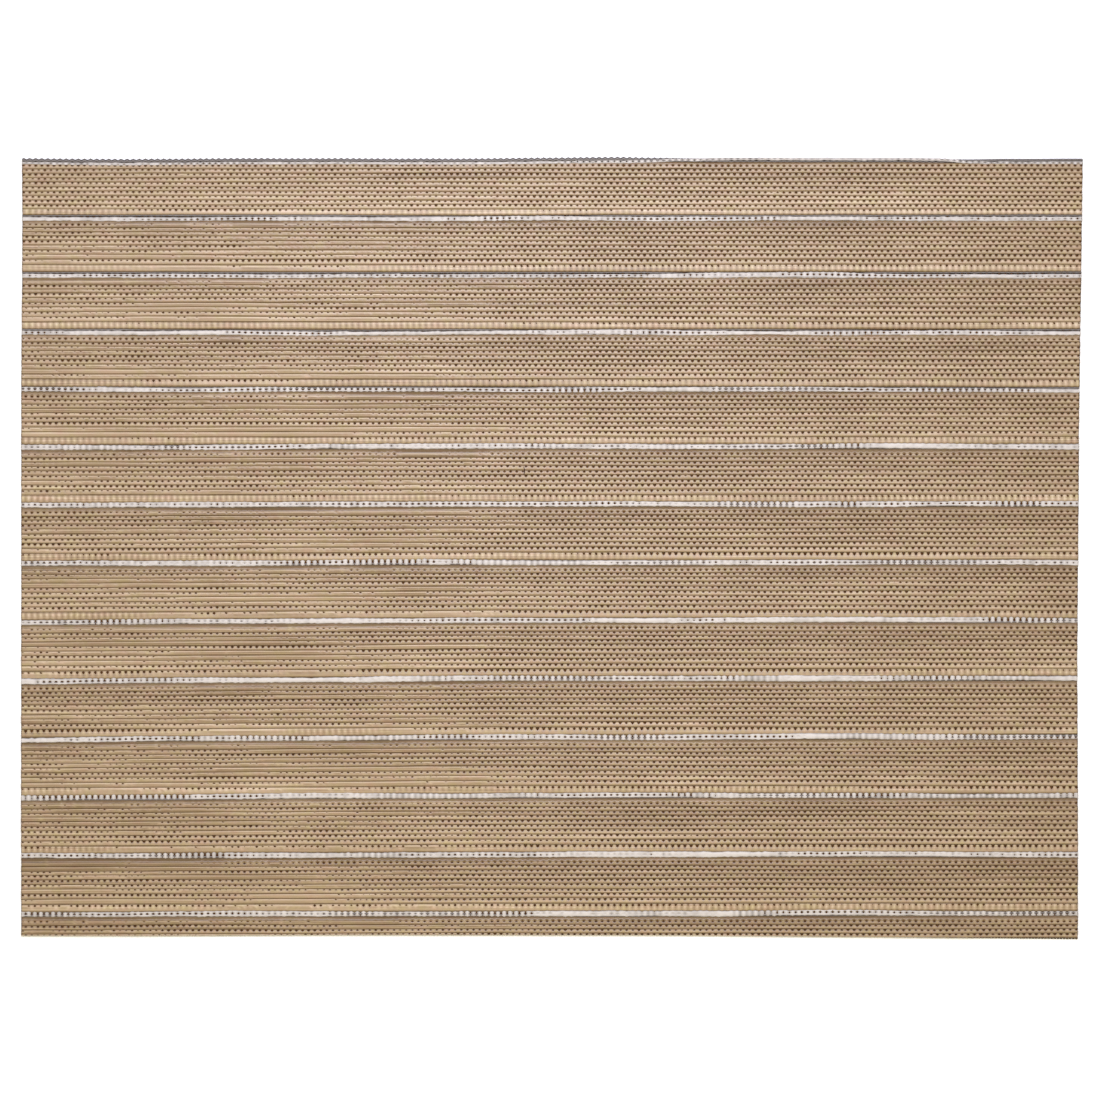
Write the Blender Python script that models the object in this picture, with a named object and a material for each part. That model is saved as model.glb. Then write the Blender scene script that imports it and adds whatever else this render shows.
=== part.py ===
"""A woven placemat: one cut piece of flat cloth, with thirteen low ribs where a thicker two-tone weft is woven in.

Metres, +Z up, +X along the weft and the ribs, +Y towards the far (upper) edge. The underside lies on z = 0, and
the middle of the outline's box is at x = y = 0. The cloth has no hem or binding: all four edges are cuts through
the weave, each a little off straight.
"""

from collections import namedtuple

import bmesh
import bpy
import numpy as np

# Driving dimensions of the cut piece
MAT_WIDTH = 0.4515
MAT_DEPTH = 0.3324
CLOTH_THICKNESS = 0.0012
RIM_SOFTENING = 0.00035
COLUMNS = 18

# The ribs: how many, how wide, and how high they stand out of the face
RIB_COUNT = 13
RIB_WIDTH = 0.0029
RIB_CREST_WIDTH = 0.0011
RIB_HEIGHT = 0.00028
FIRST_RIB = 0.02568
RIB_PITCH = 0.02423
# The far rows are beaten closer, so each pitch is a little wider than the one before
PITCH_GROWTH = 0.000037
# Left of a point, the lower ribs sag towards the near edge
SAG_START = -0.02
SAG_DEPTH = 0.0012
SAG_RIB = 8.5
SAG_SPREAD = 3.5

CLOTH_COLOUR = (0.43, 0.31, 0.21, 1.0)
CLOTH_ROUGHNESS = 0.62

# How far each cut edge lies inside the outline's box. along runs from 0 to 1, left to right or near to far
Cut = namedtuple("Cut", "along inset")
FAR_CUT = (
    Cut(0.00, 0.0007),
    Cut(0.08, 0.0010),
    Cut(0.22, 0.0007),
    Cut(0.45, 0.0006),
    Cut(0.55, 0.0002),
    Cut(0.60, 0.0000),
    Cut(0.84, 0.0001),
    Cut(0.90, 0.0006),
    Cut(1.00, 0.0005),
)
NEAR_CUT = (
    Cut(0.00, 0.0015),
    Cut(0.12, 0.0014),
    Cut(0.30, 0.0018),
    Cut(0.60, 0.0017),
    Cut(0.70, 0.0013),
    Cut(0.85, 0.0007),
    Cut(1.00, 0.0000),
)
LEFT_CUT = (
    Cut(0.00, 0.0001),
    Cut(0.14, 0.0000),
    Cut(0.45, 0.0001),
    Cut(0.72, 0.0001),
    Cut(0.90, 0.0006),
    Cut(1.00, 0.0004),
)
RIGHT_CUT = (
    Cut(0.00, 0.0021),
    Cut(0.15, 0.0021),
    Cut(0.35, 0.0024),
    Cut(0.50, 0.0020),
    Cut(0.70, 0.0015),
    Cut(0.85, 0.0007),
    Cut(1.00, 0.0000),
)


def inset(cut, along):
    """How far a cut edge lies inside the box at a share of the way along it."""
    return float(np.interp(along, [point.along for point in cut], [point.inset for point in cut]))


def rib_line(number, x):
    """The y of a rib's middle line: level on the right, and sagging on the left in the lower ribs."""
    down = FIRST_RIB + number * RIB_PITCH + number**2 * PITCH_GROWTH
    leftward = min(max((SAG_START - x) / (SAG_START + MAT_WIDTH / 2), 0.0), 1.0)
    share = np.exp(-(((number - SAG_RIB) / SAG_SPREAD) ** 2))
    return MAT_DEPTH / 2 - down - SAG_DEPTH * leftward * share


def column(across):
    """The (y, z) of each row line at one column, from the far cut to the near one. A rib has four lines."""
    x = MAT_WIDTH * (across - 0.5)
    flat, crest = CLOTH_THICKNESS, CLOTH_THICKNESS + RIB_HEIGHT
    foot, brow = RIB_WIDTH / 2, RIB_CREST_WIDTH / 2
    lines = [(MAT_DEPTH / 2 - inset(FAR_CUT, across), flat)]
    for number in range(RIB_COUNT):
        middle = rib_line(number, x)
        lines += [(middle + foot, flat), (middle + brow, crest), (middle - brow, crest), (middle - foot, flat)]
    lines.append((-MAT_DEPTH / 2 + inset(NEAR_CUT, across), flat))
    return lines


def lay_upper_face(bm):
    """A flat grid moved onto the cut outline, its lines on the feet and crests of the ribs."""
    strips = 4 * RIB_COUNT + 1
    bmesh.ops.create_grid(bm, x_segments=COLUMNS, y_segments=strips, size=0.5)
    columns = [column(step / COLUMNS) for step in range(COLUMNS + 1)]
    for vert in bm.verts:
        across = vert.co.x + 0.5
        line = round((0.5 - vert.co.y) * strips)
        y, z = columns[round(across * COLUMNS)][line]
        up = y / MAT_DEPTH + 0.5
        left = -MAT_WIDTH / 2 + inset(LEFT_CUT, up)
        right = MAT_WIDTH / 2 - inset(RIGHT_CUT, up)
        vert.co = (left + (right - left) * across, y, z)


def close_below(bm):
    """The rim is drawn down to the table and closed by one flat underside."""
    rim = [edge for edge in bm.edges if edge.is_boundary]
    drawn = bmesh.ops.extrude_edge_only(bm, edges=rim)["geom"]
    for item in drawn:
        if isinstance(item, bmesh.types.BMVert):
            item.co.z = 0.0
    bmesh.ops.contextual_create(bm, geom=[edge for edge in bm.edges if edge.is_boundary])
    bmesh.ops.recalc_face_normals(bm, faces=bm.faces)
    return rim


def soften(bm, rim):
    """The cut yarns are pressed down along the upper rim."""
    bmesh.ops.bevel(bm, geom=rim, offset=RIM_SOFTENING, segments=1, affect="EDGES", clamp_overlap=True)


def cloth_material():
    """Tan yarn with a plastic coat: half matt, not metallic."""
    material = bpy.data.materials.new("tan_coated_yarn")
    material.use_nodes = True
    shader = material.node_tree.nodes["Principled BSDF"]
    shader.inputs["Base Color"].default_value = CLOTH_COLOUR
    shader.inputs["Roughness"].default_value = CLOTH_ROUGHNESS
    shader.inputs["Metallic"].default_value = 0.0
    return material


def placemat_cloth():
    """The whole placemat, one woven sheet lying flat."""
    mesh = bpy.data.meshes.new("placemat_cloth")
    bm = bmesh.new()
    lay_upper_face(bm)
    rim = close_below(bm)
    soften(bm, rim)
    bm.to_mesh(mesh)
    bm.free()
    mesh.materials.append(cloth_material())
    return bpy.data.objects.new("placemat_cloth", mesh)


def main():
    for old in list(bpy.data.objects):
        bpy.data.objects.remove(old)
    placemat = bpy.data.collections.new("placemat")
    bpy.context.scene.collection.children.link(placemat)
    placemat.objects.link(placemat_cloth())


main()
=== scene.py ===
# %% [markdown]
# # A woven placemat, yarn by yarn
#
# The placemat is one flat cut of cloth. Its long way is the weft: tan yarn with a plastic coat, laid in rows about
# two millimetres apart. Thin dark brown warps cross it and hold the rows. In every eleventh row the loom lays a
# thicker pair of white and grey yarns instead, which makes the stripes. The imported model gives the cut's outline
# and the ribs where the thick rows lie, so it is loaded first, and every yarn is placed by it.

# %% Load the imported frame
import math
from collections import namedtuple

import bpy
import numpy as np
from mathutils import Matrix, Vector


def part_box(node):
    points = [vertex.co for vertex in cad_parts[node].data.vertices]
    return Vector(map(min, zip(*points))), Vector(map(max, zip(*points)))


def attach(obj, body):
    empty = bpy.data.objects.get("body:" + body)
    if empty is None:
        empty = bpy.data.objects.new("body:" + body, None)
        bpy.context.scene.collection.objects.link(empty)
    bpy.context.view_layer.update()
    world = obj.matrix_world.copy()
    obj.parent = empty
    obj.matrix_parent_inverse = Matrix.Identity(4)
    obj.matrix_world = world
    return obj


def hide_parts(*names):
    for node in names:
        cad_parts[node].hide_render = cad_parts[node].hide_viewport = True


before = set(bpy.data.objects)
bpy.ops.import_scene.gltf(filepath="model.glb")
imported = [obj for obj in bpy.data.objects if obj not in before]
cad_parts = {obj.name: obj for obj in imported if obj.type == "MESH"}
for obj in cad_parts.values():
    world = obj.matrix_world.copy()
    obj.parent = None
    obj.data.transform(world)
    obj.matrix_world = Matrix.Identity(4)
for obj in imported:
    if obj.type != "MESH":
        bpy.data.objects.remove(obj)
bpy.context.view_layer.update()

MM = 0.001
cloth_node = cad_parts["placemat_cloth"]
low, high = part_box("placemat_cloth")
print("the cut is", round(high.x - low.x, 4), "by", round(high.y - low.y, 4), "m")

# %% [markdown]
# ## The cut edges
#
# Scissors don't follow the yarns exactly. The right edge bows in by two millimetres, and the near edge drops a
# little to the right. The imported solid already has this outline, so its underside's rim is read instead of typing
# the numbers again: a point belongs to an edge if it lies within a few millimetres of that side of the box.

# %% Read the outline from the frame
EDGE_REACH = 3 * MM
rim = np.array([vertex.co for vertex in cloth_node.data.vertices if vertex.co.z < 0.1 * MM])


def cut_edge(points, along, across):
    """One cut edge as sorted places along one axis, and how far out it lies on the other."""
    order = np.argsort(points[:, along])
    return points[order, along], points[order, across]


far_cut = cut_edge(rim[rim[:, 1] > high.y - EDGE_REACH], 0, 1)
near_cut = cut_edge(rim[rim[:, 1] < low.y + EDGE_REACH], 0, 1)
left_cut = cut_edge(rim[rim[:, 0] < low.x + EDGE_REACH], 1, 0)
right_cut = cut_edge(rim[rim[:, 0] > high.x - EDGE_REACH], 1, 0)
print("outline points:", len(far_cut[0]), len(near_cut[0]), len(left_cut[0]), len(right_cut[0]))

# %% [markdown]
# The ribs are read the same way. Their crests are the highest points of the solid, so the crest points near the
# right edge give each rib's place there, and those near the left edge show how far it sags on that side.

# %% Read the ribs from the frame
CREST_DEPTH = 0.1 * MM
SAG_START = -20 * MM
crest = np.array([vertex.co for vertex in cloth_node.data.vertices if vertex.co.z > high.z - CREST_DEPTH])


def rib_places(points):
    """The y of each rib, far to near, from pairs of crest points at one side."""
    found = np.unique(points[:, 1].round(5))[::-1]
    return (found[0::2] + found[1::2]) / 2


ribs_left = rib_places(crest[crest[:, 0] < low.x + EDGE_REACH])
ribs_right = rib_places(crest[crest[:, 0] > high.x - EDGE_REACH])
RIBS = len(ribs_right)
print(RIBS, "ribs, the far one at", ribs_right[0].round(4), "and the near one at", ribs_right[-1].round(4))

# %% [markdown]
# ## The plan of the weave
#
# A loom's cloth is counted, not measured: 345 warps across the mat, and rows of weft counted from the far cut. The
# warps stand a little wider apart on the right. The rows are beaten close just after a stripe and lie wider before
# the next one, so their places are shares of the way from stripe to stripe. Row 0 is a stripe that the scissors cut
# along, and four more rows lie beyond the last stripe.

# %% Count the warps and the rows
WARPS = 345
PITCH_DRIFT = 0.01
BAND_SHARES = (0.121, 0.194, 0.267, 0.340, 0.420, 0.500, 0.583, 0.663, 0.750, 0.843)
FAR_ROWS = 11
FAR_FIRST_SHARE = 0.134
FAR_SHARE_STEP = 0.0741
EDGE_ROW_DEPTH = 1.28 * MM
NEAR_ROWS = 4
NEAR_BAND = 25.2 * MM

# A section is a ring of a yarn: one at each warp, and two at each cut end
END_SECTIONS = 2
section_warp = np.arange(-END_SECTIONS, WARPS + END_SECTIONS)
section_share = np.clip((section_warp + 0.5) / WARPS, 0, 1)
section_share[1], section_share[-2] = 0.22 / WARPS, 1 - 0.22 / WARPS
section_share = section_share * (1 - PITCH_DRIFT) + section_share**2 * PITCH_DRIFT
SECTIONS = len(section_share)
section_x = low.x + (high.x - low.x) * section_share


def rib_line(number):
    """A rib's y at every section: level on the right, sagging from SAG_START to the left edge."""
    places = (ribs_left[number], ribs_right[number], ribs_right[number])
    return np.interp(section_x, (low.x, SAG_START, high.x), places)


def row_plan():
    """The kind of each row and its y at every section, from the far cut to the near one."""
    edge = np.interp(section_x, *far_cut) - EDGE_ROW_DEPTH
    kinds, lines = ["edge"], [edge]
    for place in range(FAR_ROWS):
        share = FAR_FIRST_SHARE + FAR_SHARE_STEP * place
        kinds.append("plain")
        lines.append(high.y + (rib_line(0) - high.y) * share)
    for number in range(RIBS):
        here = rib_line(number)
        last = number == RIBS - 1
        following = here - NEAR_BAND if last else rib_line(number + 1)
        kinds.append("stripe")
        lines.append(here)
        for share in BAND_SHARES[: NEAR_ROWS if last else None]:
            kinds.append("plain")
            lines.append(here + (following - here) * share)
    return np.array(kinds), np.array(lines)


row_kind, row_y = row_plan()
ROWS = len(row_kind)
plain_rows = np.flatnonzero(row_kind == "plain")
stripe_rows = np.flatnonzero(row_kind != "plain")
print(ROWS, "rows:", len(plain_rows), "plain and", len(stripe_rows), "striped")

# %% [markdown]
# No two rows lie quite alike. Every unevenness of this cloth is a slow random change along a row, so one helper
# makes them all: it draws a new value every few warps and eases from each to the next. The draws come from one
# seeded generator, so the cloth is the same each time the script runs.

# %% Random numbers that change slowly along a row
rng = np.random.default_rng(27)


def drift(rows, step):
    """Smooth random numbers of about -1 to 1 for some rows, with a new value every step warps."""
    knots = rng.normal(0, 0.5, (rows, SECTIONS // step + 3))
    at = np.arange(SECTIONS) / step + rng.uniform(0, 1, (rows, 1))
    low_knot = np.floor(at).astype(int)
    ease = at - low_knot
    ease = ease * ease * (3 - 2 * ease)
    row = np.arange(rows)[:, None]
    return knots[row, low_knot] * (1 - ease) + knots[row, low_knot + 1] * ease


def eased(value, start, end):
    """0 before start, 1 after end, and smooth between."""
    t = np.clip((value - start) / (end - start), 0, 1)
    return t * t * (3 - 2 * t)


row_y = row_y + drift(ROWS, 50) * 0.20 * MM + drift(ROWS, 9) * 0.07 * MM
spacing = -np.diff(row_y, axis=0)
print("row spacing", (spacing.min() / MM).round(2), "to", (spacing.max() / MM).round(2), "mm")

# %% [markdown]
# In a plain weave a row of weft goes over one warp and under the next, and the row after it does the opposite.
# That is a checkerboard: add a warp's number to the row's number, and an even sum means that the weft is on top.
# Where the weft goes under, the dark warp shows as a dot, and the warp's dark brown also stands in for the shade of
# that pit. On the right of this mat the dots are strong in every row. On the left the coated yarn bridges many of
# them, and those rows read as unbroken lines with a painted highlight along them.

# %% Over, under, and how deep each dot is
# A depth is a share of the weft's full dip: its usual value, and how far it strays from that
LEFT_DEPTH, RIGHT_DEPTH = 0.50, 0.98
LEFT_CHANGE, RIGHT_CHANGE = 0.70, 0.22
FIRST_BAND_DEPTH = 0.7
STRIPE_DEPTH = 0.85
LEAST_DEPTH, MOST_DEPTH = 0.05, 1.1
row_number = np.arange(ROWS)
over = (section_warp[None, :] + row_number[:, None]) % 2.0 == 0
over = over.astype(float)
over[:, :END_SECTIONS] = over[:, -END_SECTIONS:] = 0.5
right_side = eased(section_x, -75 * MM, 25 * MM)
usual_depth = LEFT_DEPTH + (RIGHT_DEPTH - LEFT_DEPTH) * right_side
depth_change = LEFT_CHANGE + (RIGHT_CHANGE - LEFT_CHANGE) * right_side
dot_depth = usual_depth + depth_change * (drift(ROWS, 55) * 0.9 + drift(ROWS, 14) * 0.45)
first_band = row_number[:, None] <= FAR_ROWS
dot_depth = np.where(first_band, np.maximum(dot_depth, FIRST_BAND_DEPTH), dot_depth)
striped = (row_kind != "plain")[:, None]
dot_depth = np.where(striped, STRIPE_DEPTH + drift(ROWS, 26) * 0.9, dot_depth)
dot_depth = dot_depth + drift(ROWS, 5) * 0.22 + rng.normal(0, 0.11, (ROWS, SECTIONS))
dot_depth = np.clip(dot_depth, LEAST_DEPTH, MOST_DEPTH)
mean_depth = dot_depth.mean(axis=0).round(2)
print("mean dot depth from", mean_depth[END_SECTIONS], "at the left to", mean_depth[-1 - END_SECTIONS])

# %% [markdown]
# ## A straight yarn to start from
#
# Every yarn in the cloth is the same thing bent differently. It starts as a cylinder with a few sides, added with
# an operator, whose long edges are subdivided so that it has a ring at each crossing. An Array modifier then lays
# one copy for each row, far enough apart that no two can be mistaken for each other. The copies are bent into
# place afterwards, where each point is told by its row, its ring and its side.

# %% Make rows of straight yarn
RING_STEP = 10 * MM
ROW_STEP = 50 * MM
BLANK_RADIUS = 5 * MM


def straight_yarns(name, sides, parts, copies):
    """Parallel yarns along X as one mesh: cylinders cut into parts, and each of those into parts again."""
    bpy.ops.object.select_all(action="DESELECT")
    long = RING_STEP * parts[0] * parts[1]
    bpy.ops.mesh.primitive_cylinder_add(
        vertices=sides, radius=BLANK_RADIUS, depth=long, end_fill_type="NGON",
        location=(long / 2, 0, 0), rotation=(0, math.pi / 2, 0),
    )
    yarn = bpy.context.object
    yarn.name = yarn.data.name = name
    bpy.ops.object.transform_apply(location=True, rotation=True, scale=True)
    for count in parts:
        bpy.ops.object.mode_set(mode="EDIT")
        bpy.ops.mesh.select_mode(type="EDGE")
        bpy.ops.mesh.select_all(action="DESELECT")
        bpy.ops.object.mode_set(mode="OBJECT")
        points = yarn.data.vertices
        for edge in yarn.data.edges:
            ends = [points[index].co.x for index in edge.vertices]
            edge.select = abs(ends[0] - ends[1]) > RING_STEP / 2
        bpy.ops.object.mode_set(mode="EDIT")
        bpy.ops.mesh.subdivide(number_cuts=count - 1)
        bpy.ops.object.mode_set(mode="OBJECT")
    array = yarn.modifiers.new("rows", "ARRAY")
    array.count = copies
    array.use_relative_offset = False
    array.use_constant_offset = True
    array.constant_offset_displace = (0, ROW_STEP, 0)
    bpy.ops.object.modifier_apply(modifier=array.name)
    return yarn


Place = namedtuple("Place", "row ring side")


def places_of(yarn, sides):
    """Which copy, ring and side each point of straight yarns is."""
    at = np.empty(len(yarn.data.vertices) * 3, np.float32)
    yarn.data.vertices.foreach_get("co", at)
    at = at.reshape(-1, 3).astype(float)
    row = np.round(at[:, 1] / ROW_STEP).astype(int)
    ring = np.round(at[:, 0] / RING_STEP).astype(int)
    turn = np.arctan2(at[:, 2], at[:, 1] - row * ROW_STEP) / (2 * math.pi) * sides
    first = turn[0] % 1
    return Place(row, ring, np.round(turn - first).astype(int) % sides)


# %% [markdown]
# ## Laying yarns into the cloth
#
# One function moves the points of straight yarns to their real places. It also gives the mesh what its finish
# needs: a map with one strip for each yarn, which keeps the weave sharp when the finish is baked, and point
# attributes that hold the painted highlight and shade at that point and which shade its row has.

# %% Bend yarns and label their points
MAP_NAME = "OFBake"
CAP_WIDTH = 0.006
STRIP_FILL = 0.94


def set_points(yarn, points):
    """Moves the points of a mesh to these places."""
    yarn.data.vertices.foreach_set("co", points.astype(np.float32).ravel())
    yarn.data.update()


def split_faces(yarn):
    """Cuts each bent face along its shorter diagonal, so that every dip has the same shape on both sides."""
    bpy.ops.object.select_all(action="DESELECT")
    yarn.select_set(True)
    bpy.context.view_layer.objects.active = yarn
    bpy.ops.object.mode_set(mode="EDIT")
    bpy.ops.mesh.select_all(action="SELECT")
    bpy.ops.mesh.quads_convert_to_tris(quad_method="SHORTEST_DIAGONAL", ngon_method="BEAUTY")
    bpy.ops.object.mode_set(mode="OBJECT")


def set_attribute(yarn, name, values):
    """Stores one number at each point, for the finish to read."""
    layer = yarn.data.attributes.new(name, "FLOAT", "POINT")
    layer.data.foreach_set("value", values.astype(np.float32).ravel())


def map_strips(yarn, place, sides, rings, copies):
    """A map with a strip for each yarn: along the yarn is across the map, and round it is up the strip."""
    mesh = yarn.data
    corner = np.empty(len(mesh.loops), np.int32)
    mesh.loops.foreach_get("vertex_index", corner)
    starts = np.empty(len(mesh.polygons), np.int32)
    mesh.polygons.foreach_get("loop_start", starts)
    sizes = np.diff(np.append(starts, len(corner)))
    face = np.repeat(np.arange(len(starts)), sizes)
    side, ring, row = place.side[corner], place.ring[corner], place.row[corner]
    wraps = np.maximum.reduceat(side, starts) - np.minimum.reduceat(side, starts) > 1
    cap = (np.maximum.reduceat(ring, starts) == np.minimum.reduceat(ring, starts))[face]
    side = np.where(wraps[face] & ~cap & (side == 0), sides, side)
    u = CAP_WIDTH + (1 - 2 * CAP_WIDTH) * ring / (rings - 1)
    v = side / sides
    turn = 2 * math.pi * side / sides
    cap_middle = np.where(ring == 0, CAP_WIDTH / 2, 1 - CAP_WIDTH / 2)
    u = np.where(cap, cap_middle + 0.45 * CAP_WIDTH * np.cos(turn), u)
    v = np.where(cap, 0.5 + 0.45 * np.sin(turn), v)
    v = (row + 0.5 + (v - 0.5) * STRIP_FILL) / copies
    layer = mesh.uv_layers.new(name=MAP_NAME)
    layer.data.foreach_set("uv", np.stack([u, v], 1).astype(np.float32).ravel())
    flat = np.maximum.reduceat(ring, starts) == np.minimum.reduceat(ring, starts)
    mesh.polygons.foreach_set("use_smooth", ~flat)


def square_to_outline(x_share, y):
    """The x of a point that lies at a share of the way between the left and the right cut."""
    left, right = np.interp(y, *left_cut), np.interp(y, *right_cut)
    return left + (right - left) * x_share


# %% [markdown]
# ## The tan rows
#
# Each tan row is a flat bundle that shows two ridges. The far ridge is woven: it rises into an oval over one warp,
# painted light as a highlight, and dips under the next, painted dark as shade. The near ridge is fuller and rides
# over nearly everything, so it is a quiet tan band. Six sides are enough for that section: far edge, woven ridge,
# its foot, full ridge, near edge and underside. In the last row before a stripe both ridges are woven in places, and
# the ovals there are tall, with a painted highlight that makes them pale.

# %% The section of a tan row
Side = namedtuple("Side", "reach over under tall_under light_over light_under light_line")
# reach is a share of the way to the next row, and heights are in millimetres
# The three light columns are painted light: a highlight on the crests, painted shade in the dips and grooves, and a
# painted highlight line where a row bridges its dots
PLAIN_SIDES = (
    Side(+0.27, 1.07, 1.00, 0.98, 0.66, 0.34, 0.38),
    Side(+0.02, 1.22, 0.36, 0.90, 0.90, 0.02, 1.00),
    Side(-0.21, 1.16, 0.90, 0.94, 1.02, 0.26, 0.50),
    Side(-0.47, 1.12, 1.09, 1.00, 0.70, 0.58, 0.64),
    Side(-0.77, 1.04, 1.02, 0.94, 0.56, 0.50, 0.34),
    Side(-0.25, 0.28, 0.00, 0.00, 0.45, 0.35, 0.45),
)
# A subdivision makes at most a hundred cuts, so the rings are cut in two goes
WEFT_PARTS = (12, 29)


def side_column(sides, name):
    """One measure of every side of a section."""
    return np.array([getattr(side, name) for side in sides])


def per_side(field, place, rows):
    """A field's value at each point, for the rows that the copies stand for."""
    return field[rows[place.row], place.ring]


def woven(sides, place, rows, tall):
    """The height of each point of yarns that go over and under the warps, and its painted light: highlight on top,
    shade in the dips.
    """
    depth = per_side(dot_depth, place, rows)
    on_top = per_side(over, place, rows)
    under = side_column(sides, "under")[place.side] * (1 - tall)
    under = under + side_column(sides, "tall_under")[place.side] * tall
    top = side_column(sides, "over")[place.side]
    dip = (1 - on_top) * depth
    height = (top + (under - top) * dip) * MM
    # Painted light: a highlight where the yarn is on top, and painted shade where it dips
    painted_light_top = side_column(sides, "light_over")[place.side]
    light_under = side_column(sides, "light_under")[place.side] * (1 - tall) + 0.36 * tall
    light = painted_light_top + (light_under - painted_light_top) * np.maximum(dip, (1 - on_top) * tall)
    # Where a row bridges its dots, a painted highlight line runs along it instead
    painted_line_share = (1 - eased(depth, 0.15, 0.6)) * (1 - tall)
    light = light + (side_column(sides, "light_line")[place.side] - light) * painted_line_share
    return height, light


# %% [markdown]
# A row next to a stripe has more room than the others. The last row before one simply grows wider. The first row
# after one keeps its shape and gets one more side: a plain slope that runs up to the stripe. The rows just after a
# stripe are also darker, and they get paler towards the next one.

# %% Lay the tan rows
STRIPE_FAR = 1.05 * MM
STRIPE_NEAR = 0.72 * MM
BODY_SHARE = 0.77
# The slope's reach only tells it from the other sides: its points run right up to the stripe
SLOPE = Side(+0.62, 1.12, 1.10, 1.10, 0.66, 0.58, 0.62)
FIRST_SIDES = (SLOPE,) + PLAIN_SIDES
BAND_SHADE = 2.7
EVEN_PLACE = 0.62
MOST_CUT_STEP = 0.2 * MM
CUT_SHADE = 0.3
OVAL_HIGHLIGHT = 0.10

far_reach = np.vstack([spacing[:1], spacing])
near_reach = np.vstack([spacing, spacing[-1:]])
before_stripe = np.append(row_kind[1:] == "stripe", False)
after_stripe = np.append(False, row_kind[:-1] != "plain")
near_reach = np.where(before_stripe[:, None], (near_reach - STRIPE_FAR) / BODY_SHARE, near_reach)
slope_reach = far_reach - STRIPE_NEAR
far_reach = np.where(after_stripe[:, None], near_reach, far_reach)

last_rows = np.flatnonzero(before_stripe)
comb = 1.0 - 0.75 * eased(np.arange(RIBS), 4.5, 8.0)
tall_ovals = np.zeros((ROWS, SECTIONS))
tall_ovals[last_rows] = eased(drift(RIBS, 60) + comb[:, None] * 1.1 - 0.5, -0.25, 0.35)
row_shade = drift(ROWS, 70) * 0.6 + rng.normal(0, 0.25, (ROWS, 1))
last_stripe = np.maximum.accumulate(np.where(striped[:, 0], row_number, 0))
band_place = (row_number - last_stripe)[:, None] / (len(BAND_SHARES) + 1)
# Painted light: both sides of the mat are painted paler than its middle
painted_side_light = np.interp(section_x, (low.x, -60 * MM, 100 * MM, high.x), (0.5, 0.0, 0.0, 0.5))
row_shade = row_shade + np.where(striped, 0, BAND_SHADE * (band_place - EVEN_PLACE) + painted_side_light)

# The scissors leave each row's end a little farther in or out
cut_step = np.zeros((ROWS, SECTIONS))
cut_step[:, 0] = np.minimum(abs(rng.normal(0, 0.10 * MM, ROWS)), MOST_CUT_STEP)
cut_step[:, -1] = -np.minimum(abs(rng.normal(0, 0.12 * MM, ROWS)), MOST_CUT_STEP)


def across(place, rows, y):
    """The x of each point, its ring's share of the way from the left cut to the right one."""
    return square_to_outline(section_share[place.ring], y) + per_side(cut_step, place, rows)


def lay_plain(name, rows, sides=PLAIN_SIDES):
    """Tan weft for these rows, bent over and under the warps and cut to the outline."""
    yarn = straight_yarns(name, len(sides), WEFT_PARTS, len(rows))
    place = places_of(yarn, len(sides))
    tall = per_side(tall_ovals, place, rows)
    height, light = woven(sides, place, rows, tall)
    reach = side_column(sides, "reach")[place.side]
    far = per_side(far_reach, place, rows)
    near = per_side(near_reach, place, rows)
    aside = reach * np.where(reach > 0, far, near)
    aside = np.where(reach == SLOPE.reach, per_side(slope_reach, place, rows), aside)
    y = per_side(row_y, place, rows) + aside
    x = across(place, rows, y)
    y = np.maximum(y, np.interp(x, *near_cut))
    on_ridge = (reach < 0) & (reach > -0.7)
    # Painted highlight: the tall ovals are painted paler on their crests
    light = light + OVAL_HIGHLIGHT * tall * on_ridge * per_side(over, place, rows)
    cut_end = (place.ring < END_SECTIONS) | (place.ring >= SECTIONS - END_SECTIONS)
    set_points(yarn, np.stack([x, y, height], 1))
    # The light attribute holds painted light: a highlight on the crests and painted shade in the dips
    set_attribute(yarn, "light", light - CUT_SHADE * cut_end)
    set_attribute(yarn, "shade", per_side(row_shade, place, rows))
    map_strips(yarn, place, len(sides), SECTIONS, len(rows))
    split_faces(yarn)
    return yarn


first_rows = np.flatnonzero(after_stripe)
usual_rows = np.flatnonzero((row_kind == "plain") & ~after_stripe)
PIECE_ROWS = 46
far_part, middle_part, near_part = np.split(usual_rows, (PIECE_ROWS, 2 * PIECE_ROWS))
weft_far = lay_plain("tan_weft_far", far_part)
weft_middle = lay_plain("tan_weft_middle", middle_part)
weft_near = lay_plain("tan_weft_near", near_part)
weft_first = lay_plain("tan_weft_after_stripes", first_rows, FIRST_SIDES)
for yarn in (weft_far, weft_middle, weft_near, weft_first):
    print(yarn.name, len(yarn.data.polygons), "triangles")

# %% [markdown]
# ## The striped rows
#
# A stripe is two yarns laid in one row, a broad white one and a thin grey one, that turn slowly round each other.
# In the far stripes the grey mostly lies on the far side as a dark line. In the near ones it hides in the white
# and shows only through its dips, as grey dots. Where the white dips over its whole breadth, white and grey
# alternate like the keys of a piano. The white also leans towards one side of its row, wavers in width, and is
# never quite straight along its two edges.

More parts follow.
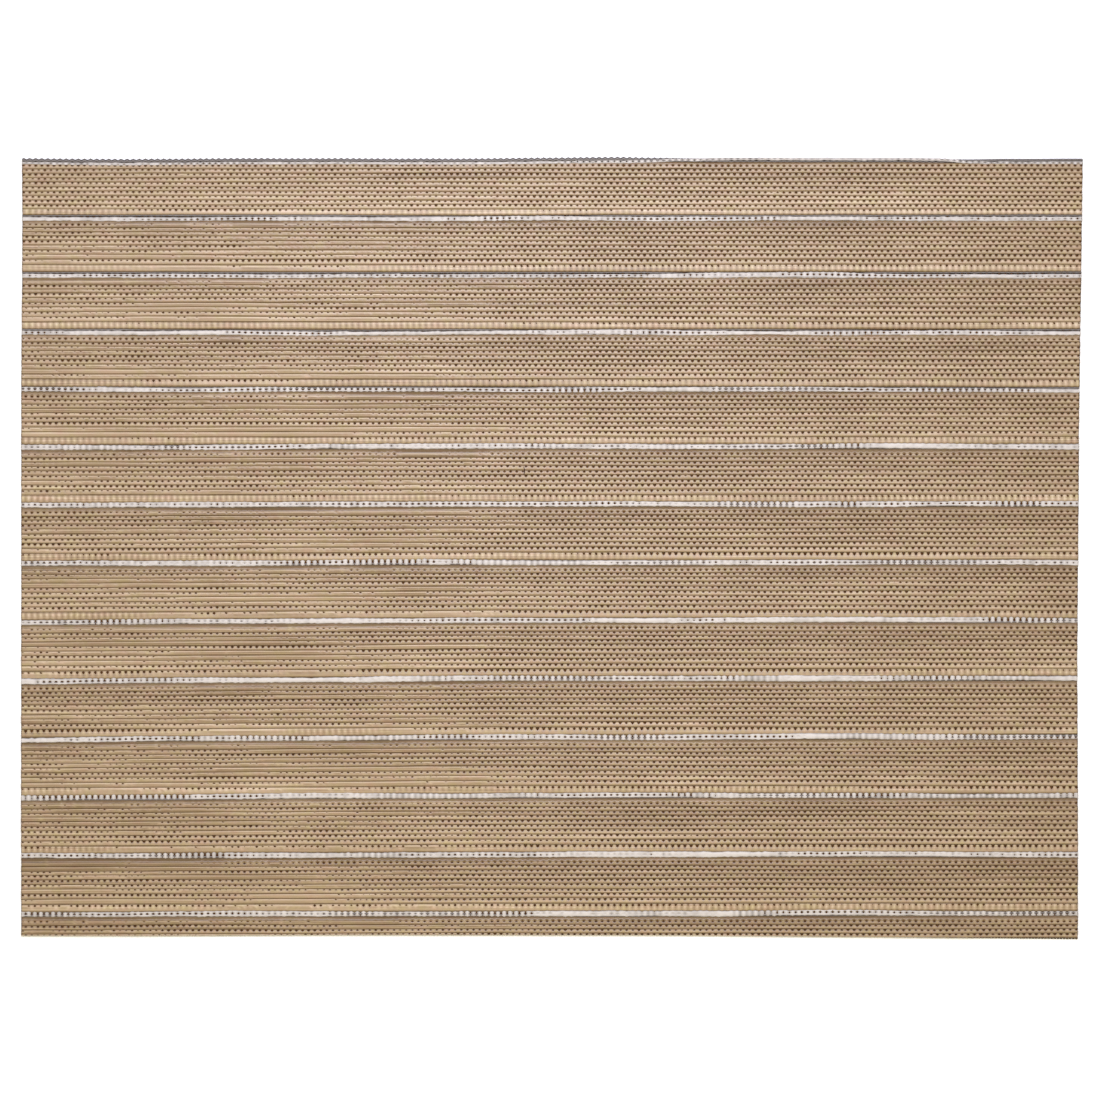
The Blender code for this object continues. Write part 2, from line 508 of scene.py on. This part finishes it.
# %% The white yarn of the stripes
# The light columns are painted light here too: highlights on the white's crests and painted shade in its dips
WHITE_SIDES = (
    Side(+1.25, 1.08, 1.04, 0.86, 0.80, 0.72, 0.78),
    Side(+0.90, 1.30, 1.22, 0.86, 0.95, 0.80, 0.95),
    Side(+0.40, 1.44, 0.74, 0.70, 1.04, 0.20, 1.00),
    Side(-0.20, 1.44, 0.72, 0.70, 1.04, 0.16, 1.00),
    Side(-0.55, 1.38, 1.24, 0.94, 1.00, 0.85, 0.96),
    Side(-0.92, 1.28, 1.20, 0.92, 0.90, 0.80, 0.88),
    Side(-1.25, 1.08, 1.04, 0.86, 0.76, 0.70, 0.76),
    Side(+0.00, 0.28, 0.00, 0.00, 0.40, 0.40, 0.40),
)
far_stripes = 1 - eased(row_number, 26, 62)[:, None]
turning = far_stripes * 1.1 + drift(ROWS, 34) * (0.55 + 1.2 * far_stripes) + drift(ROWS, 80) * 0.4
twist = np.tanh(turning * 1.2)
brick = eased(drift(ROWS, 30) + drift(ROWS, 11) * 0.5, 0.0, 0.4) * (1 - 0.6 * far_stripes)
dot_shift = drift(ROWS, 28) * 0.30 * MM
white_width = 0.95 + 0.14 * drift(ROWS, 22) - 0.24 * np.maximum(twist, 0)
white_lean = (0.28 - 0.62 * far_stripes + drift(ROWS, 40) * 0.22) * MM
white_step = rng.normal(0, 0.08, (2, ROWS, SECTIONS)) * MM
white_tone = drift(ROWS, 12) * 0.12 + rng.normal(0, 0.10, (ROWS, SECTIONS)) - 0.10 * far_stripes
white_swing = np.full(ROWS, 0.22 * MM)
grey_swing = np.full(ROWS, 0.95 * MM)

# %% [markdown]
# Row 0 is such a stripe too, cut off along the loom's direction. Where nothing holds it on the far side, the outer
# yarn of the pair bulges at every second warp, so the cut looks toothed. The grey is the outer one, except for a
# stretch on the right, where the two change places.

# %% The pair along the far cut
EDGE_TURNS = (
    (-226, 1.0), (30, 1.0), (52, 0.0), (74, -0.9), (165, -0.9), (176, 0.6), (190, 1.0), (226, 1.0),
)
TEETH = (
    (-226, 1.0), (40, 1.0), (70, 0.55), (160, 0.55), (176, 0.1), (226, 0.1),
)
TOOTH = 0.62 * MM
turn_x, turn_value = np.array(EDGE_TURNS).T
twist[0] = np.interp(section_x, turn_x * MM, turn_value)
teeth_x, teeth_value = np.array(TEETH).T
teeth = np.zeros((ROWS, SECTIONS))
teeth[0] = np.interp(section_x, teeth_x * MM, teeth_value) * (over[0] - 0.5) * TOOTH
white_swing[0], grey_swing[0] = 0.60 * MM, 0.50 * MM
white_width[0] = 0.48
white_lean[0] = 0
brick[0] = 0.25
print("teeth of", (teeth[0].max() / MM).round(2), "mm along the far cut")

# %% Lay the white yarns


def lay_white(name, rows):
    """The white yarns, which give way a little to the grey."""
    sides = len(WHITE_SIDES)
    yarn = straight_yarns(name, sides, WEFT_PARTS, len(rows))
    place = places_of(yarn, sides)
    height, light = woven(WHITE_SIDES, place, rows, per_side(brick, place, rows))
    reach = side_column(WHITE_SIDES, "reach")[place.side]
    breath = 0.94 + 0.12 * per_side(over, place, rows)
    aside = reach * MM * per_side(white_width, place, rows) * breath
    aside = aside + np.where(reach > 0.5, per_side(white_step[0], place, rows), 0)
    aside = aside + np.where(reach < -0.5, per_side(white_step[1], place, rows), 0)
    aside = aside - white_swing[rows[place.row]] * per_side(twist, place, rows)
    aside = aside + per_side(white_lean, place, rows)
    aside = aside + np.where(abs(reach) < 1, per_side(dot_shift, place, rows), 0)
    y = per_side(row_y, place, rows) + aside
    limit = np.interp(section_x, *far_cut)[place.ring] + per_side(teeth, place, rows)
    y = np.minimum(y, limit)
    x = across(place, rows, y)
    set_points(yarn, np.stack([x, y, height], 1))
    # The light attribute holds the white's painted highlight and painted shade
    set_attribute(yarn, "light", light + per_side(white_tone, place, rows))
    set_attribute(yarn, "shade", per_side(row_shade, place, rows))
    map_strips(yarn, place, sides, SECTIONS, len(rows))
    split_faces(yarn)
    return yarn


white_weft = lay_white("white_weft", stripe_rows)
print(white_weft.name, len(white_weft.data.polygons), "triangles")

# %% Lay the grey yarns
GREY_LATERAL = (1.0, 0.0, -1.0)
GREY_DROP = (0.5, 0.0, 0.5)
GREY_HALF_WIDTH = 0.46
BRICK_WIDENING = 0.40
EDGE_GREY = ((50, 0.86), (80, 0.42), (165, 0.42), (180, 0.60))
grey_half_width = (GREY_HALF_WIDTH + BRICK_WIDENING * brick + 0.10 * drift(ROWS, 20)) * MM
edge_x, edge_half_width = np.array(EDGE_GREY).T
grey_half_width[0] = np.interp(section_x, edge_x * MM, edge_half_width) * MM
grey_height = (1.15 + 0.21 * abs(twist) + 0.05 * (2 * over - 1)) * MM


def lay_grey(name, rows):
    """The grey yarns, which lie beside the white or run through its dips."""
    sides = len(GREY_LATERAL)
    yarn = straight_yarns(name, sides, WEFT_PARTS, len(rows))
    place = places_of(yarn, sides)
    swing = grey_swing[rows[place.row]] * per_side(twist, place, rows)
    aside = np.array(GREY_LATERAL)[place.side] * per_side(grey_half_width, place, rows)
    y = per_side(row_y, place, rows) + swing + aside + per_side(teeth, place, rows)
    x = across(place, rows, y)
    z = per_side(grey_height, place, rows) - np.array(GREY_DROP)[place.side] * MM
    # Painted light: the top side is painted lighter than the two flanks, and lighter still where the yarn goes over
    light = (0.45 + 0.3 * per_side(over, place, rows)) * np.where(place.side == 1, 1.0, 0.5)
    set_points(yarn, np.stack([x, y, z], 1))
    set_attribute(yarn, "light", light)
    set_attribute(yarn, "shade", per_side(row_shade, place, rows))
    map_strips(yarn, place, sides, SECTIONS, len(rows))
    split_faces(yarn)
    return yarn


grey_weft = lay_grey("grey_weft", stripe_rows)
print(grey_weft.name, len(grey_weft.data.polygons), "triangles")

# %% [markdown]
# ## The warps
#
# The warps run the other way, so their blanks are turned a quarter: a ring at each row, and one at each cut end.
# They are thin, so three sides do: a flat top and a keel below. A warp is high where the weft is under and low
# where it is over, which is the weft's checkerboard again with the colours swapped.

# %% Lay the warps
WARP_HALF_WIDTH = 0.54 * MM
WARP_HIGH = 1.02 * MM
WARP_LOW = 0.44 * MM
WARP_KEEL = 0.38 * MM
WARP_RINGS = ROWS + 2
WARP_PARTS = (10, 15)
far_line, near_line = np.interp(section_x, *far_cut), np.interp(section_x, *near_cut)
warp_y = np.vstack([far_line - 0.35 * MM, row_y, near_line])
warp_y = np.clip(warp_y, near_line, far_line)
warp_tone = rng.normal(0, 0.5, WARPS)
warp_step = rng.normal(0, 0.03, WARPS) * MM


def lay_warps(name, numbers):
    """These warps, counted from the left, from the far cut to the near one."""
    sides = 3
    yarn = straight_yarns(name, sides, WARP_PARTS, len(numbers))
    place = places_of(yarn, sides)
    number = numbers[place.row]
    section = number + END_SECTIONS
    row = np.clip(place.ring - 1, 0, ROWS - 1)
    end = (place.ring <= 1) | (place.ring == WARP_RINGS - 1)
    down = np.where(end, 1, over[row, section])
    z = WARP_HIGH + (WARP_LOW - WARP_HIGH) * down - np.where(place.side == 0, WARP_KEEL, 0)
    y = warp_y[place.ring, section]
    shift = np.array([0, -1, 1])[place.side] * WARP_HALF_WIDTH
    x = square_to_outline(section_share[section], y) + shift + warp_step[number]
    set_points(yarn, np.stack([x, y, z], 1))
    # Painted shade: a warp is marked darker where it goes down, which the brown finish does not read
    set_attribute(yarn, "light", 0.8 - 0.6 * down)
    set_attribute(yarn, "shade", warp_tone[number])
    map_strips(yarn, place, sides, WARP_RINGS, len(numbers))
    split_faces(yarn)
    return yarn


halves = np.array_split(np.arange(WARPS), 2)
warp_left = lay_warps("brown_warp_left", halves[0])
warp_right = lay_warps("brown_warp_right", halves[1])
for yarn in (warp_left, warp_right):
    print(yarn.name, len(yarn.data.polygons), "triangles")

# %% [markdown]
# One short end of warp has worked loose a little far of the middle. It lies on the cloth as a small dark bow.

# %% Lay the loose end
LOOSE_PARTS = (6, 2)
LOOSE_SIDES = 6
LOOSE_MIDDLE = (-12.1 * MM, 32.9 * MM, 1.24 * MM)
LOOSE_LENGTH = 3.6 * MM
LOOSE_BOW = 0.45 * MM
LOOSE_RADIUS = 0.19 * MM
TIP_SHARE = 0.35
loose_end = straight_yarns("loose_warp_end", LOOSE_SIDES, LOOSE_PARTS, 1)
place = places_of(loose_end, LOOSE_SIDES)
loose_rings = LOOSE_PARTS[0] * LOOSE_PARTS[1] + 1
share = place.ring / (loose_rings - 1)
swell = np.sin(math.pi * share)
radius = LOOSE_RADIUS * (TIP_SHARE + (1 - TIP_SHARE) * swell)
turn = 2 * math.pi * place.side / LOOSE_SIDES
x = LOOSE_MIDDLE[0] + LOOSE_BOW * swell - radius * np.cos(turn)
y = LOOSE_MIDDLE[1] + LOOSE_LENGTH * (share - 0.5)
z = LOOSE_MIDDLE[2] + radius * np.sin(turn)
set_points(loose_end, np.stack([x, y, z], 1))
set_attribute(loose_end, "light", 0 * share)
set_attribute(loose_end, "shade", 0 * share - 2)
map_strips(loose_end, place, LOOSE_SIDES, loose_rings, 1)
print(loose_end.name, (np.ptp(y) / MM).round(1), "mm long")

# %% [markdown]
# ## Finishes
#
# A finish is a small sum: the painted highlight and shade at this point, plus fine streaks along the yarn, plus a
# slow change from row to row. To write such sums as Python, one small class wraps a node's output and gives it the
# usual signs. A second class is the material under construction, with one method that adds any node.

# %% Sockets that can be added and multiplied


class Value:
    """A number that changes over the surface. Arithmetic on it adds Math nodes."""

    def __init__(self, finish, socket):
        self.finish, self.socket = finish, socket

    def _math(self, operation, first, second):
        return self.finish.node("ShaderNodeMath", {"operation": operation}, {0: first, 1: second})

    def __add__(self, other):
        return self._math("ADD", self, other)

    def __radd__(self, other):
        return self._math("ADD", other, self)

    def __sub__(self, other):
        return self._math("SUBTRACT", self, other)

    def __rsub__(self, other):
        return self._math("SUBTRACT", other, self)

    def __mul__(self, other):
        return self._math("MULTIPLY", self, other)

    def __rmul__(self, other):
        return self._math("MULTIPLY", other, self)


class Finish:
    """A material being built round one Principled shader."""

    def __init__(self, name):
        self.material = bpy.data.materials.new(name)
        self.material.use_nodes = True
        self.tree = self.material.node_tree
        self.shader = self.tree.nodes["Principled BSDF"]

    def node(self, kind, settings=None, inputs=None, output=0):
        """Adds a node, sets it up, fills or links its sockets, and gives back one of its outputs."""
        made = self.tree.nodes.new(kind)
        for name, value in (settings or {}).items():
            if name == "stops":
                self.set_stops(made.color_ramp, value)
            else:
                setattr(made, name, value)
        for name, value in (inputs or {}).items():
            self.fill(made.inputs[name], value)
        return Value(self, made.outputs[output])

    def fill(self, socket, value):
        """Links a socket to a Value, or sets it to a constant."""
        if isinstance(value, Value):
            self.tree.links.new(value.socket, socket)
        else:
            socket.default_value = value

    def set_stops(self, ramp, stops):
        """Gives a colour ramp its stops, each a place and a colour."""
        for extra in list(ramp.elements)[1:]:
            ramp.elements.remove(extra)
        ramp.elements[0].position, ramp.elements[0].color = stops[0]
        for place, colour in stops[1:]:
            ramp.elements.new(place).color = colour

    def attribute(self, name):
        """The number that a mesh stores at each point under this name."""
        return self.node("ShaderNodeAttribute", {"attribute_name": name}, output="Fac")

    def streaks(self, scale, detail=2.0):
        """Noise in the piece's own space, stretched by the scale along each axis, from 0 to 1."""
        place = self.node("ShaderNodeTexCoord", output="Object")
        place = self.node("ShaderNodeMapping", None, {"Vector": place, "Scale": scale})
        inputs = {"Vector": place, "Scale": 1.0, "Detail": detail, "Roughness": 0.6}
        return self.node("ShaderNodeTexNoise", None, inputs, output="Fac")

    def bump(self, height):
        """The slight relief of filaments, at most a tenth of a millimetre deep."""
        inputs = {"Strength": 0.35, "Distance": 0.1 * MM, "Height": height}
        return self.node("ShaderNodeBump", None, inputs, output="Normal")

    def blend(self, kind, factor, first, second):
        """Mixes two colours. The colour sockets of a Mix node are its seventh and eighth."""
        settings = {"data_type": "RGBA", "blend_type": kind}
        return self.node("ShaderNodeMix", settings, {0: factor, 6: first, 7: second}, output=2)

    def surface(self, **sockets):
        """Fills sockets of the shader, whose names are written with _ for each space."""
        for name, value in sockets.items():
            self.fill(self.shader.inputs[name.replace("_", " ")], value)


def seen(red, green, blue):
    """A colour as an eye reads it, 0 to 255, in the numbers that shaders use."""
    shares = [value / 255 for value in (red, green, blue)]
    linear = [share / 12.92 if share <= 0.04045 else ((share + 0.055) / 1.055) ** 2.4 for share in shares]
    return (*linear, 1.0)


print("a mid tan in shader numbers:", [round(part, 3) for part in seen(175, 150, 125)])

# %% [markdown]
# The tan coat is half matt. Its colour runs from a deep brown, painted shade in the grooves, to cream, a painted
# highlight on the crests. Fine streaks are the filaments of the yarn, and long ones run on as thin lines. The fine
# streaks also feed a little bump and the roughness, and patches of a few millimetres lean to pink or to olive.

# %% The tan finish
ALONG_WEFT = (90.0, 3800.0, 1500.0)
LONG_LINES = (12.0, 2100.0, 1.0)
BLOTCHES = (22.0, 30.0, 1.0)
TINT_PATCHES = (150.0, 260.0, 1.0)


def tan_finish():
    """The coat of the tan rows."""
    finish = Finish("tan_coated_yarn")
    light = finish.attribute("light")
    shade = finish.attribute("shade")
    fine = finish.streaks(ALONG_WEFT)
    lines = finish.streaks(LONG_LINES, 1.0)
    broad = finish.streaks(BLOTCHES)
    # light is painted light: a highlight on the crests and painted shade in the grooves and dips
    level = light * 0.66 + 0.15 + (fine - 0.5) * 0.4 + (lines - 0.5) * 0.6
    level = level + shade * 0.08 + (broad - 0.5) * 0.2
    stops = (
        (0.00, seen(60, 39, 18)),
        (0.30, seen(107, 84, 56)),
        (0.55, seen(141, 119, 91)),
        (0.80, seen(165, 144, 116)),
        (1.00, seen(191, 172, 148)),
    )
    colour = finish.node("ShaderNodeValToRGB", {"stops": stops}, {"Fac": level}, output="Color")
    pink, plain, olive = (1.0, 0.91, 0.93, 1), (1.0, 1.0, 1.0, 1), (0.96, 1.0, 0.82, 1)
    tints = ((0.28, pink), (0.5, plain), (0.72, olive))
    patches = finish.streaks(TINT_PATCHES)
    tint = finish.node("ShaderNodeValToRGB", {"stops": tints}, {"Fac": patches}, output="Color")
    colour = finish.blend("MULTIPLY", 1.0, colour, tint)
    finish.surface(Base_Color=colour, Roughness=0.5 - fine * 0.2, Normal=finish.bump(fine))
    finish.shader.inputs["Specular IOR Level"].default_value = 0.5
    return finish.material


def striped_finish(name, dark, middle, pale):
    """The finish of a stripe's yarn, from painted shade in its grooves to a painted highlight on its crests."""
    finish = Finish(name)
    light = finish.attribute("light")
    shade = finish.attribute("shade")
    fine = finish.streaks(ALONG_WEFT)
    # light is painted light: a highlight on the crests and painted shade in the dips
    level = light * 0.75 + 0.12 + (fine - 0.5) * 0.5 + shade * 0.06
    stops = ((0.0, dark), (0.45, middle), (0.9, pale))
    colour = finish.node("ShaderNodeValToRGB", {"stops": stops}, {"Fac": level}, output="Color")
    finish.surface(Base_Color=colour, Roughness=0.6 - fine * 0.2, Normal=finish.bump(fine))
    return finish.material


def warp_finish():
    """The brown of the warps, which run the other way, and so do their streaks."""
    finish = Finish("brown_warp_yarn")
    shade = finish.attribute("shade")
    fine = finish.streaks((3000.0, 200.0, 1500.0))
    level = 0.4 + (fine - 0.5) * 0.8 + shade * 0.2
    # The dark brown is partly the warps' own colour and partly painted shade, darkening the pits where a warp shows
    stops = ((0.0, seen(52, 29, 10)), (0.5, seen(76, 47, 20)), (1.0, seen(108, 75, 42)))
    colour = finish.node("ShaderNodeValToRGB", {"stops": stops}, {"Fac": level}, output="Color")
    finish.surface(Base_Color=colour, Roughness=0.7)
    finish.shader.inputs["Specular IOR Level"].default_value = 0.12
    return finish.material


tan = tan_finish()
# Each yarn's ramp runs from its painted shade to its painted highlight
white = striped_finish("white_coated_yarn", seen(78, 71, 65), seen(144, 138, 133), seen(187, 181, 176))
grey = striped_finish("grey_coated_yarn", seen(52, 46, 43), seen(88, 81, 78), seen(122, 116, 112))
brown = warp_finish()

finishes = {
    weft_far: tan, weft_middle: tan, weft_near: tan, weft_first: tan,
    white_weft: white, grey_weft: grey, warp_left: brown, warp_right: brown, loose_end: brown,
}
for piece, finish in finishes.items():
    piece.data.materials.clear()
    piece.data.materials.append(finish)
print(len(finishes), "pieces finished")

# %% [markdown]
# ## What each piece is
#
# All yarns belong to the one body of the mat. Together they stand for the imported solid, which is hidden. The cloth
# is declared once, as a sheet laid flat: the far third of the tan rows is the piece that is measured, its area is
# its share of the cut, and the other yarns go with it.

# %% Tell the frame
for piece in finishes:
    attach(piece, "root")
    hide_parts("placemat_cloth")

# %% [markdown]
# ## Floor, light and camera
#
# The mat lies on a plain white floor, and the camera looks straight down on it. The key is a cool lamp high beyond
# the far edge, and a warm one in front of the mat fills. So the far rows are a little brighter and bluer than the
# near ones. The pale surroundings do the rest.

# %% Floor
bpy.ops.object.select_all(action="DESELECT")
bpy.ops.mesh.primitive_plane_add(size=8, location=(0, 0, -0.15 * MM))
floor = bpy.context.object
floor.name = "floor"
bpy.ops.object.transform_apply(location=True, rotation=True, scale=True)
floor_finish = Finish("white_floor")
floor_finish.surface(Base_Color=(0.93, 0.93, 0.93, 1), Roughness=0.9)
floor.data.materials.append(floor_finish.material)

# %% Light
world = bpy.data.worlds.new("surroundings")
world.use_nodes = True
world.node_tree.nodes["Background"].inputs["Color"].default_value = (1.0, 0.985, 0.96, 1)
world.node_tree.nodes["Background"].inputs["Strength"].default_value = 0.6
bpy.context.scene.world = world


def soft_lamp(name, place, size, energy, colour):
    """A square lamp that faces the middle of the mat."""
    light = bpy.data.lights.new(name, "AREA")
    light.size, light.energy, light.color = size, energy, colour
    lamp = bpy.data.objects.new(name, light)
    lamp.location = place
    lamp.rotation_euler = (-Vector(place)).to_track_quat("-Z", "Y").to_euler()
    bpy.context.scene.collection.objects.link(lamp)


soft_lamp("key", place=(0.0, 0.36, 0.85), size=0.40, energy=8.2, colour=(0.975, 0.97, 1.10))
soft_lamp("fill", place=(0.0, -0.50, 0.90), size=0.5, energy=3.0, colour=(1.0, 0.82, 0.35))
bpy.context.scene.view_settings.view_transform = "Standard"

# %% Camera
FRAME_WIDTH = 467.6 * MM
CAMERA_PLACE = (-0.85 * MM, -0.77 * MM)
CAMERA_HEIGHT = 2.4
SENSOR = 36.0
camera = bpy.data.cameras.new("camera")
camera.sensor_width = SENSOR
camera.lens = SENSOR * (CAMERA_HEIGHT - high.z) / FRAME_WIDTH
camera.clip_start = 0.05
camera.clip_end = 50
eye = bpy.data.objects.new("camera", camera)
eye.location = (*CAMERA_PLACE, CAMERA_HEIGHT)
bpy.context.scene.collection.objects.link(eye)
bpy.context.scene.camera = eye
print("lens", round(camera.lens, 1), "mm")
